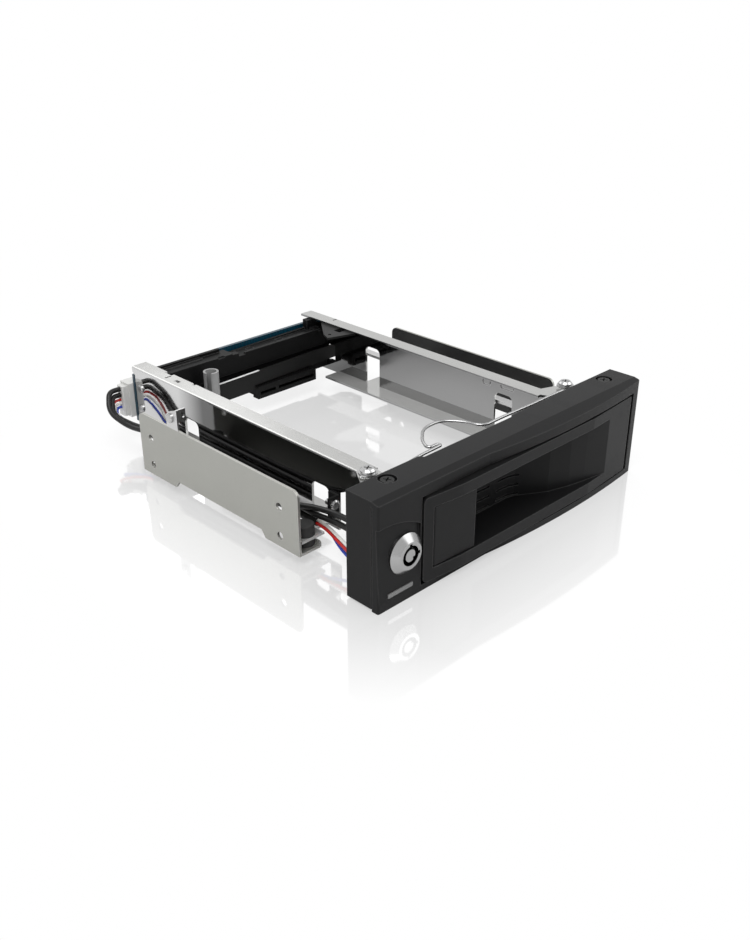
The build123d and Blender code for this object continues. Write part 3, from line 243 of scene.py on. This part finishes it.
def sheet(name, dark, light, rough, metallic=1.0, wall=None, inner_reflection=None):
    """Rolled and plated sheet metal: fine lines along the roll, cloudy plate, small scuffs, painted edge
    highlight.

    A wall gives the upright faces a painted reflection: the greys that the plate would mirror from
    its neighbours, set by height. With it, everything below the top flange is more polished, and the
    faces of the ledge are less metallic.
    A colour given for the faces towards the left is painted on them as the dark reflection they show.
    """
    f = Finish(name)
    roll = f.noise(1500.0, detail=3.0, rough=0.6, stretch=(1.0, 0.06, 1.0))
    cloud = f.noise(55.0, detail=4.0, rough=0.6)
    scuff = ((f.noise(420.0, detail=6.0, rough=0.7, stretch=(0.4, 1.0, 1.0)) - 0.58) * 5.0).clamp()
    edge = f.near_edge(0.0004)
    colour = f.mix((cloud * 0.8 + roll * 0.3).clamp(), dark, light)
    polish = 1.0
    if wall:
        upright = abs(f.axis("X", "Normal")) > FACING
        rise = ((f.axis("Z") - wall.bottom) * (1.0 / (wall.top - wall.bottom))).clamp()
        rise = rise * (1.0 - ((f.axis("Y") - wall.rear) * 60.0).clamp())
        # Painted reflection: upright faces take a grey set by height, the low grey behind the rear limit.
        colour = f.mix(upright, colour, f.mix(rise, grey(wall.low), grey(wall.high)))
        polish = 0.25 + 0.75 * (f.axis("Z") > FLANGE_UNDER)
        metallic = metallic - 0.6 * (f.axis("Z") < LEDGE_TOP) * (1.0 - upright)
    if inner_reflection:
        # Painted reflection: faces towards the left take the given dark colour.
        colour = f.mix(f.axis("X", "Normal") < -FACING, colour, inner_reflection)
    # Painted highlight: colour lightened towards light grey near the edges.
    colour = f.mix(edge * 0.35, colour, grey(0.75))
    f.set(Base_Color=colour, Metallic=metallic,
          Roughness=(rough + 0.10 * cloud + 0.06 * roll + 0.12 * scuff - 0.08) * polish)
    f.bump(roll * 0.7 + scuff * 0.3, depth=0.000012, strength=0.5)
    return f.material


def coated(name, base, rough, lit_and_bare=None):
    """Thin black coat over sheet steel, a little lighter along its edges.

    The pair for the top holds the z above which, and the x up to which, the top is painted light grey:
    partly uncoated metal where the coat has gone, partly a painted highlight.
    """
    f = Finish(name)
    peel = f.noise(900.0)
    cloud = f.noise(60.0, detail=3.0)
    edge = f.near_edge(0.0003)
    colour = f.mix(cloud, base, shade(base, 1.6))
    colour = f.mix(edge * 0.25, colour, grey(0.06))
    if lit_and_bare:
        above, left_of = lit_and_bare
        # Light grey top: partly uncoated metal, partly a painted highlight.
        lit_and_bare_top = (f.axis("Z") > above) * (f.axis("X") < left_of)
        colour = f.mix(lit_and_bare_top, colour, grey(0.7))
    f.set(Base_Color=colour, Roughness=(rough - 0.06 + 0.12 * cloud), Metallic=0.0, Specular_IOR_Level=0.15)
    f.bump(peel, depth=0.00002, strength=0.4)
    return f.material


def bright(name, level, rough, hole_shade=None):
    """Turned or stamped bright metal with fine tool lines; a hole's x, z and radius get a dark painted shade.
    """
    f = Finish(name)
    lines = f.noise(2600.0, stretch=(1.0, 1.0, 0.2))
    cloud = f.noise(220.0, detail=3.0)
    colour = f.mix(cloud, grey(level * 0.86), grey(level))
    if hole_shade:
        x, z, radius = hole_shade
        away = ((f.axis("X") - x) ** 2.0 + (f.axis("Z") - z) ** 2.0) ** 0.5
        # Painted shade: near black inside the hole.
        colour = f.mix(away < radius, colour, grey(0.012))
    f.set(Base_Color=colour, Metallic=1.0, Roughness=(rough + 0.10 * cloud + 0.05 * lines - 0.04))
    f.bump(lines, depth=0.000006, strength=0.5)
    return f.material


def plastic(name, colour, rough, coat=0.0, gloss=0.5):
    """Plain coloured plastic or insulation with slight mottling."""
    f = Finish(name)
    cloud = f.noise(300.0, detail=3.0)
    f.set(Base_Color=f.mix(cloud, shade(colour, 0.8), colour), Roughness=(rough - 0.06 + 0.12 * cloud))
    f.set(Coat_Weight=coat, Specular_IOR_Level=gloss)
    f.bump(f.noise(2600.0), depth=0.000012, strength=0.4)
    return f.material


def board(name):
    """Solder mask over a weave, with lighter bands for the traces."""
    f = Finish(name)
    weave = f.noise(1400.0)
    traces = f.node("ShaderNodeTexWave", {"wave_type": "BANDS", "bands_direction": "X"}, out="Fac",
                    Vector=f.place, Scale=180.0, Distortion=6.0, Detail=2.0)
    share = ((traces - 0.55) * 6.0).clamp()
    colour = f.mix(share * 0.45, (0.0, 0.022, 0.042, 1), (0.0, 0.048, 0.072, 1))
    f.set(Base_Color=colour, Roughness=0.28 + 0.1 * weave)
    f.bump(share * 0.6 + weave * 0.4, depth=0.00002, strength=0.5)
    return f.material


def rubber(name):
    """Dull black rubber with a little dust."""
    f = Finish(name)
    dust = f.noise(260.0, detail=4.0, rough=0.6)
    f.set(Base_Color=f.mix(dust, grey(0.012), grey(0.03)), Roughness=0.72 + 0.15 * dust)
    f.bump(f.noise(1800.0), depth=0.00003, strength=0.5)
    return f.material


class CageFinish(bpy.types.PropertyGroup):
    """Colours a user would change."""

    moulding: FloatVectorProperty(name="Moulding", description="Colour of the bezel and door",
                                  subtype="COLOR", size=4, min=0, max=1, default=(0.0048, 0.0048, 0.005, 1))
    bracket: FloatVectorProperty(name="Bay brackets", description="Colour of the outer brackets",
                                 subtype="COLOR", size=4, min=0, max=1, default=(0.37, 0.37, 0.345, 1))
    plate: FloatVectorProperty(name="Plated channel", description="Colour of the plated drive channel",
                               subtype="COLOR", size=4, min=0, max=1, default=(0.52, 0.52, 0.51, 1))


class CageStage(bpy.types.PropertyGroup):
    """Camera and light of the studio."""

    lens: FloatProperty(name="Lens", description="Focal length of the camera", default=50.0, min=10,
                        unit="CAMERA")
    key_power: FloatProperty(name="Key light", description="Power of the key light", default=5.0, min=0,
                             unit="POWER")


def dress(material, *nodes):
    """Gives every slot of the named CAD nodes this material."""
    for name in nodes:
        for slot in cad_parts[name].material_slots:
            slot.material = material


class OBJECT_OT_dress_bezel(bpy.types.Operator):
    """Finish the moulded bezel, door and paddle, and the rear wall with painted shade"""

    bl_idname = "drive_cage.dress_bezel"
    bl_label = "Bezel and door"

    def execute(self, context):
        base = tuple(context.scene.cage_finish.moulding)
        satin = moulded("satin black moulding", base, shade(base, 1.7), 0.42)
        dress(satin, "bezel", "door_panel", "door_paddle")
        # The rear wall is painted darker than the bezel: painted shade deep in the bay.
        dress(moulded("black rear moulding", shade(base, 0.6), base, 0.5, gloss=0.1), "rear_wall")
        return {"FINISHED"}


class OBJECT_OT_dress_sheet(bpy.types.Operator):
    """Finish the plated channel, bay brackets and black sheet parts"""

    bl_idname = "drive_cage.dress_sheet"
    bl_label = "Sheet metal"

    def execute(self, context):
        finish = context.scene.cage_finish
        plate = tuple(finish.plate)
        dark = shade(plate, 0.8)
        dress(sheet("nickel plate left", dark, plate, 0.24, wall=LEFT_WALL_REFLECTION), "cage_side_left")
        dress(sheet("nickel plate right", dark, plate, 0.24, wall=RIGHT_WALL_REFLECTION), "cage_side_right")
        bracket = tuple(finish.bracket)
        dull = shade(bracket, 0.85)
        dress(sheet("dull zinc", dull, bracket, 0.46, metallic=0.85), "outer_bracket_left")
        # The right bracket's faces towards the channel get a painted dark reflection.
        dress(sheet("dull zinc right", dull, bracket, 0.4, metallic=0.85, inner_reflection=grey(0.075)),
              "outer_bracket_right")
        dress(coated("black coat", grey(0.006), 0.42), "corner_plate", "guide_bracket", "lever_bracket",
              "switch_bracket")
        # The lever's top: partly uncoated metal, partly a painted highlight.
        dress(coated("black coat worn on top", grey(0.006), 0.42, (LEVER_LIT_AND_BARE_ABOVE, LEVER_LIT_AND_BARE_LEFT_OF)),
              "eject_lever")
        return {"FINISHED"}


class OBJECT_OT_dress_hardware(bpy.types.Operator):
    """Finish the lock, screws, pins and springs"""

    bl_idname = "drive_cage.dress_hardware"
    bl_label = "Lock and screws"

    def execute(self, context):
        dress(bright("turned chrome", 0.36, 0.2, hole_shade=KEYWAY_SHADE), "lock_body")
        dress(bright("polished chrome", 0.36, 0.16), "lock_plug")
        dress(bright("nickel screw", 0.46, 0.22), "wire_screws", "wire_washers", "side_clip_screw",
              "guide_bracket_screw", "cam_screw", "rear_wall_screws", "board_screws", "damper_screws")
        dress(bright("spring wire", 0.36, 0.24), "retaining_wire")
        dress(bright("bright steel", 0.56, 0.26), "side_clip", "eject_link", "door_hinge_pins",
              "paddle_pin", "lever_pin", "lock_nut", "lock_cam")
        dress(coated("black oxide", grey(0.006), 0.34), "bezel_screws")
        return {"FINISHED"}


class OBJECT_OT_dress_electrics(bpy.types.Operator):
    """Finish the boards, connectors, harness and light pipe"""

    bl_idname = "drive_cage.dress_electrics"
    bl_label = "Boards and harness"

    def execute(self, context):
        dress(board("teal solder mask"), "backplane_board", "led_board")
        dress(plastic("natural nylon", (0.60, 0.60, 0.585, 1), 0.4), "led_connector", "power_header",
              "power_plug")
        dress(plastic("black moulded connector", grey(0.005), 0.4, gloss=0.12), "drive_connector",
              "host_data_port", "host_power_port", "key_switch", "link_guides")
        dress(plastic("unlit light pipe", grey(0.11), 0.25, coat=0.6), "led_light_pipe")
        dress(plastic("grey lever sleeve", grey(0.26), 0.34), "eject_sleeve")
        dress(plastic("black insulation", grey(0.008), 0.34, gloss=0.3), "lead_a", "lead_b", "harness_sleeve")
        dress(plastic("red insulation", (0.50, 0.015, 0.012, 1), 0.32), "wire_red")
        dress(plastic("white insulation", (0.78, 0.78, 0.74, 1), 0.32), "wire_white")
        dress(plastic("blue insulation", (0.015, 0.05, 0.42, 1), 0.32), "wire_blue")
        dress(rubber("damper rubber"), "rubber_dampers")
        return {"FINISHED"}


def deselect_all():
    for other in bpy.context.selected_objects:
        other.select_set(False)


def rounded_blocks(name, boxes, radius, material):
    """One piece of boxes with round edges, each given by its middle and size in metres."""
    made = []
    for middle, size in boxes:
        deselect_all()
        bpy.ops.mesh.primitive_cube_add(size=1.0, location=(0, 0, 0))
        made.append(bpy.context.object)
        bpy.ops.object.mode_set(mode="EDIT")
        bpy.ops.mesh.select_all(action="SELECT")
        bpy.ops.transform.resize(value=size)
        bpy.ops.mesh.bevel(offset=radius, segments=2, affect="EDGES")
        bpy.ops.mesh.select_all(action="SELECT")
        bpy.ops.transform.translate(value=middle)
        bpy.ops.object.mode_set(mode="OBJECT")
    for block in made:
        block.select_set(True)
    bpy.ops.object.join()
    piece = bpy.context.object
    piece.name = name
    bpy.ops.object.shade_smooth_by_angle(angle=radians(35))
    piece.data.materials.append(material)
    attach(piece, "frame")


def chip_bodies(back):
    """The chips and the coil, standing on the board's back."""
    bodies = [((x, back + deep / 2, z), (wide, deep, high)) for x, z, wide, high, deep in CHIPS]
    return [*bodies, ((COIL_X, back + COIL_SIZE[1] / 2, COIL_Z), COIL_SIZE)]


def chip_legs(back):
    """Rows of legs on the left and right of each chip."""
    legs = []
    wide, deep, _ = LEG_SIZE
    for x, z, chip_wide, chip_high, _ in CHIPS:
        for side in (-1, 1):
            for step in range(LEGS_A_SIDE):
                rise = (step - (LEGS_A_SIDE - 1) / 2) * chip_high / (LEGS_A_SIDE + 0.4)
                legs.append(((x + side * (chip_wide / 2 + 0.4 * wide), back + deep / 2, z + rise), LEG_SIZE))
    return legs


def capacitors(back):
    """Bodies of the capacitors and the tinned ends at their left and right, in two sizes by turns."""
    bodies, ends = [], []
    cap = 0.0006
    for count, (x, z) in enumerate(CAPACITORS):
        wide, high, deep = CAPACITOR_SIZES[count % 2]
        bodies.append(((x, back + deep / 2, z), (wide - cap, deep, high)))
        for side in (-1, 1):
            middle = (x + side * (wide / 2 - 0.0002), back + deep / 2, z)
            ends.append((middle, (0.0005, deep + 0.0001, high)))
    return bodies, ends


class OBJECT_OT_fit_board(bpy.types.Operator):
    """Solder the small components on the back of the backplane board"""

    bl_idname = "drive_cage.fit_board"
    bl_label = "Board components"

    def execute(self, context):
        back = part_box("backplane_board")[1][1]
        epoxy = plastic("chip epoxy", grey(0.012), 0.5)
        rounded_blocks("board_chips", chip_bodies(back), 0.0002, epoxy)
        bodies, ends = capacitors(back)
        ceramic = plastic("capacitor ceramic", (0.20, 0.13, 0.07, 1), 0.45)
        rounded_blocks("board_capacitors", bodies, 0.0001, ceramic)
        tin = bright("tin solder", 0.6, 0.3)
        rounded_blocks("board_solder", chip_legs(back) + ends, 0.00006, tin)
        return {"FINISHED"}


def area_light(name, place, size, power):
    """Rectangular lamp that looks at the middle of the part."""
    light = bpy.data.lights.new(name, "AREA")
    light.shape = "RECTANGLE"
    light.size, light.size_y = size
    light.energy = power
    lamp = bpy.data.objects.new(name, light)
    bpy.context.scene.collection.objects.link(lamp)
    lamp.location = place
    lamp.rotation_euler = (Vector(LIT_POINT) - Vector(place)).to_track_quat("-Z", "Y").to_euler()


class OBJECT_OT_lay_stage(bpy.types.Operator):
    """Add the floor, lights, world and camera"""

    bl_idname = "drive_cage.lay_stage"
    bl_label = "Stage"

    def execute(self, context):
        scene = context.scene
        stage = scene.cage_stage
        self.camera(scene, stage.lens)
        deselect_all()
        bpy.ops.mesh.primitive_plane_add(size=FLOOR_SIZE, location=(0, 0, 0))
        floor = context.object
        floor.name = "floor"
        floor.data.materials.append(self.paper())
        area_light("key", (-0.35, -0.25, 0.75), (0.5, 0.5), stage.key_power)
        area_light("fill", (0.45, -0.45, 0.5), (0.6, 0.4), stage.key_power * 0.35)
        area_light("back", (0.1, 0.7, 0.6), (0.8, 0.4), stage.key_power * 0.3)
        self.world(scene)
        scene.view_settings.view_transform = "Standard"
        return {"FINISHED"}

    def camera(self, scene, lens):
        """The photograph's camera, with a full-frame sensor."""
        camera = bpy.data.objects.new("photo_camera", bpy.data.cameras.new("photo_camera"))
        scene.collection.objects.link(camera)
        camera.location = CAMERA_AT
        camera.rotation_euler = (radians(CAMERA_TILT), 0.0, radians(CAMERA_TURN))
        camera.data.lens = lens
        camera.data.sensor_width = 36.0
        camera.data.sensor_fit = "HORIZONTAL"
        camera.data.clip_start = 0.01
        scene.camera = camera

    def paper(self):
        """Glossy white board that shows a faint mirror image near the object and melts into the backdrop."""
        paper = Finish("white floor board")
        paper.set(Base_Color=grey(0.82), Roughness=0.9)
        paper.bump(paper.noise(300.0, detail=3.0), depth=0.00001, strength=0.2)
        white = paper.node("ShaderNodeEmission", Color=grey(1.0), Strength=1.0)
        mirror = paper.node("ShaderNodeBsdfGlossy", Color=grey(1.0), Roughness=0.06)
        clear = paper.node("ShaderNodeBsdfTransparent", Color=grey(1.0))
        diffuse = Val(paper.tree, paper.surface.outputs["BSDF"])
        sheen = paper.blend(0.58, diffuse, mirror)
        beside = paper.outside("X", HALF_WIDTH) + paper.outside("Y", HALF_DEPTH)
        lit = paper.blend((0.52 + beside * 8.0).clamp(), sheen, white)
        seen = paper.node("ShaderNodeLightPath", out="Is Camera Ray")
        near = paper.blend(seen, diffuse, lit)
        reach = paper.node("ShaderNodeVectorMath", {"operation": "LENGTH"}, out="Value", i0=paper.place)
        whole = paper.blend(((reach - FADE_FROM) * 4.0).clamp(), near, clear)
        paper.tree.links.new(whole.socket, paper.output.inputs["Surface"])
        return paper.material

    def world(self, scene):
        """White where it is seen directly, mirrored or through glass, and 0.65 of that as light."""
        world = bpy.data.worlds.new("studio")
        scene.world = world
        world.use_nodes = True
        tree = world.node_tree
        back = tree.nodes["Background"]
        path = tree.nodes.new("ShaderNodeLightPath")
        seen = Val(tree, path.outputs["Is Camera Ray"]) + Val(tree, path.outputs["Is Glossy Ray"])
        seen = (seen + Val(tree, path.outputs["Is Transmission Ray"])).clamp()
        back.inputs["Color"].default_value = (1, 1, 1, 1)
        feed(tree, back.inputs["Strength"], seen * 0.35 + 0.65)


class VIEW3D_PT_drive_cage(bpy.types.Panel):
    """Lists the steps that dress the drive cage"""

    bl_idname = "VIEW3D_PT_drive_cage"
    bl_label = "Drive cage"
    bl_space_type = "VIEW_3D"
    bl_region_type = "UI"
    bl_category = "Drive cage"

    def draw(self, context):
        for operator in OPERATORS:
            self.layout.operator(operator.bl_idname)
        for group in (context.scene.cage_finish, context.scene.cage_stage):
            for key in group.__annotations__:
                self.layout.prop(group, key)


OPERATORS = (OBJECT_OT_lay_stage, OBJECT_OT_dress_bezel, OBJECT_OT_dress_sheet, OBJECT_OT_dress_hardware,
             OBJECT_OT_dress_electrics, OBJECT_OT_fit_board)
CLASSES = (CageFinish, CageStage, *OPERATORS, VIEW3D_PT_drive_cage)


def register():
    for cls in CLASSES:
        bpy.utils.register_class(cls)
    bpy.types.Scene.cage_finish = PointerProperty(type=CageFinish)
    bpy.types.Scene.cage_stage = PointerProperty(type=CageStage)


def unregister():
    del bpy.types.Scene.cage_stage
    del bpy.types.Scene.cage_finish
    for cls in reversed(CLASSES):
        bpy.utils.unregister_class(cls)


def main():
    register()
    for operator in OPERATORS:
        group, name = operator.bl_idname.split(".")
        getattr(getattr(bpy.ops, group), name)()


if __name__ == "__main__":
    main()
